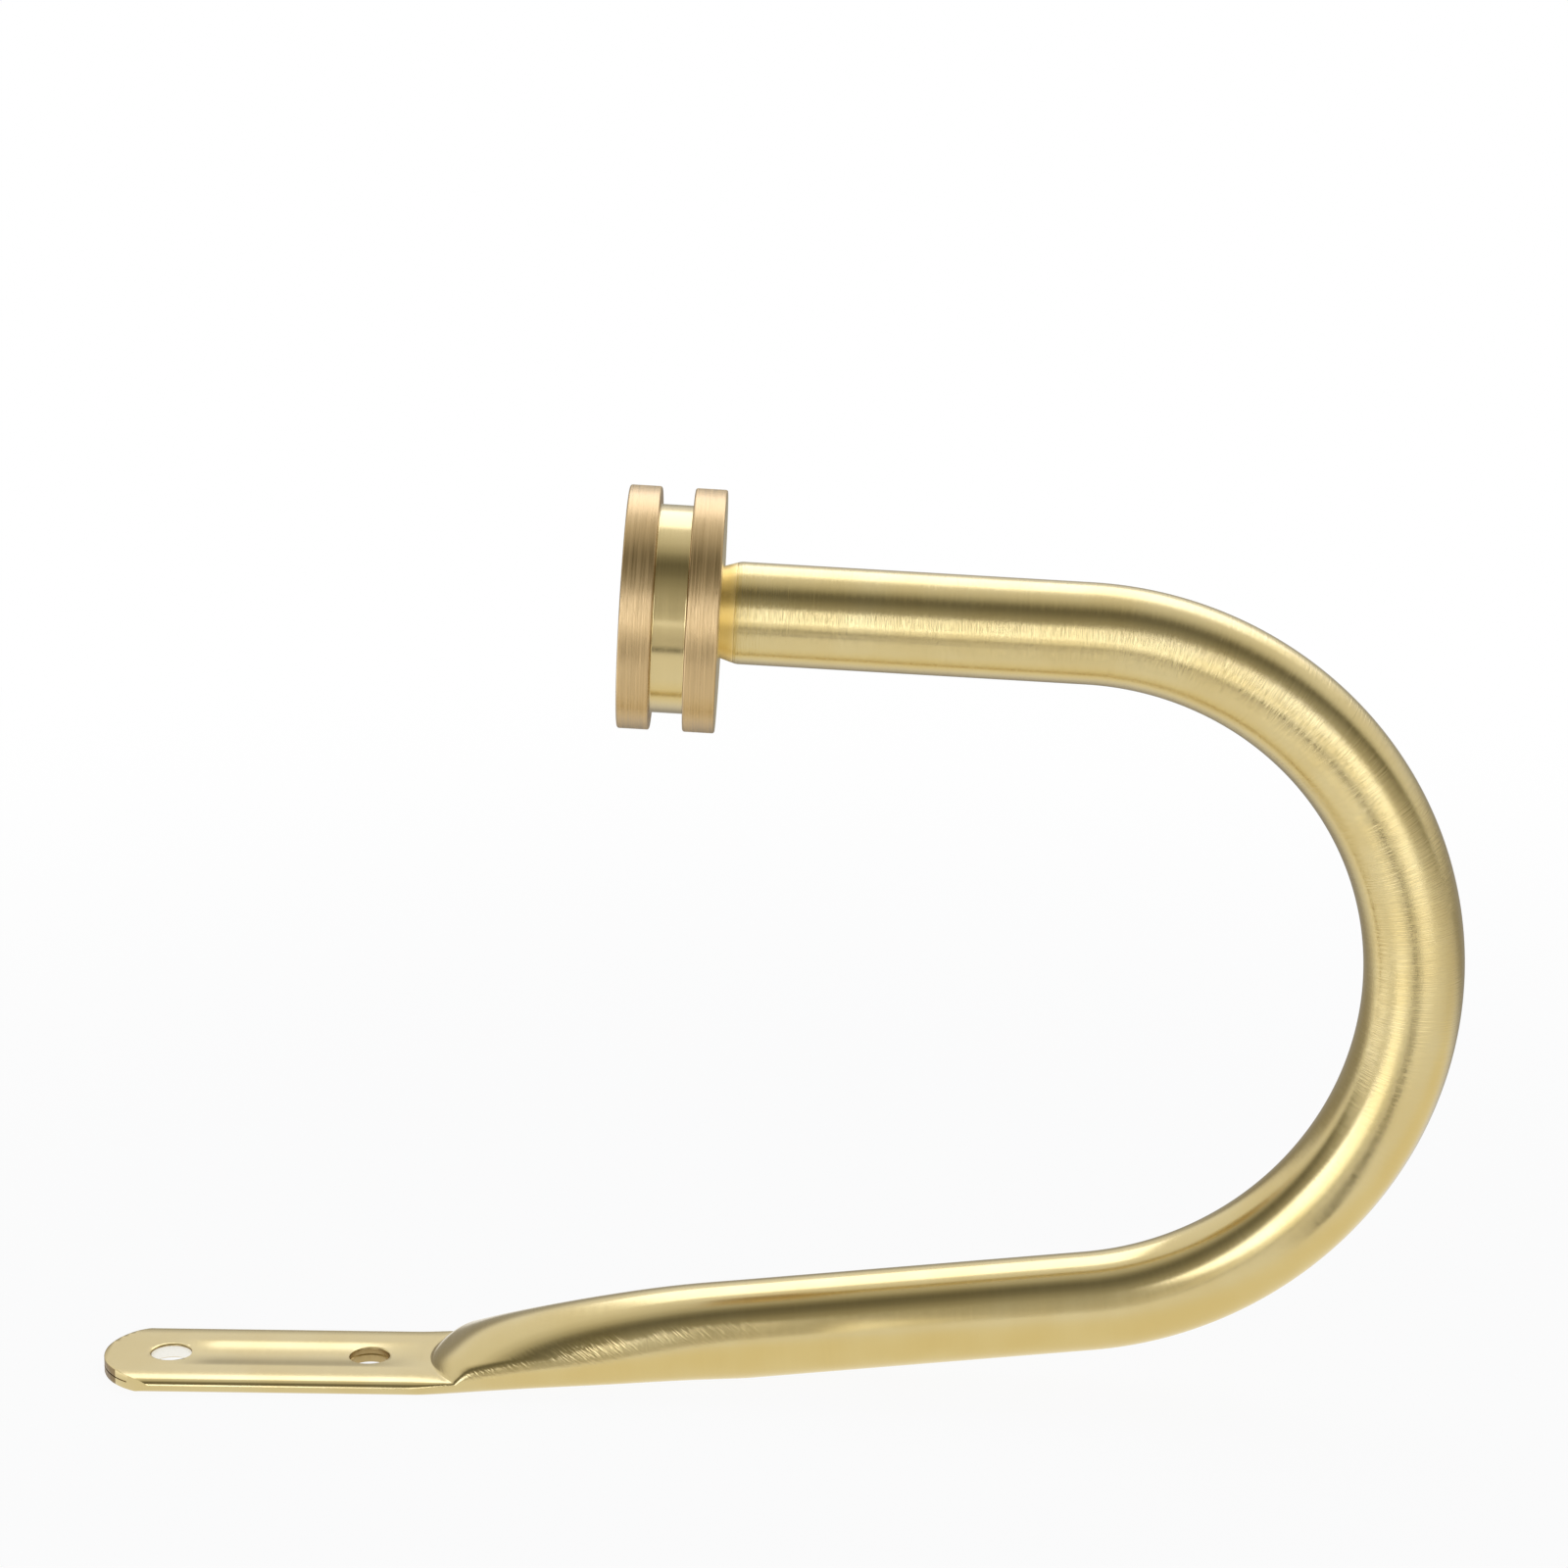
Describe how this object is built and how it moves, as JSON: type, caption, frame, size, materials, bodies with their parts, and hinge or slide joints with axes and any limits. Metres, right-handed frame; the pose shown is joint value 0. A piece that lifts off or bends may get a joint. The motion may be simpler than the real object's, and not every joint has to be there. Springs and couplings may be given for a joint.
{
  "type": "curtain holdback",
  "caption": "U-shaped curtain holdback of bent brass tube, flattened into a screw-on tab at the wall end, with a turned and grooved disc finial at the free end.",
  "frame": {"origin": "midway between the two screw holes, on the tab's face that meets the wall", "axes": "+Z out of that face, away from the wall; +X along the tab towards the bend; Y = 0 is the plane of symmetry"},
  "size_m": [0.2191, 0.038, 0.1476],
  "materials": {
    "brushed_brass": "fine brushed, pale yellow, lacquered",
    "insert_brass": "turned, satin",
    "stud_steel": "plain threaded stock",
    "turned_brass": "turned and fine brushed round the rim, lacquered"
  },
  "bodies": {
    "root": {"hook_tube": "brushed_brass", "end_insert": "insert_brass", "stud": "stud_steel", "finial": "turned_brass"}
  },
  "joints": []
}
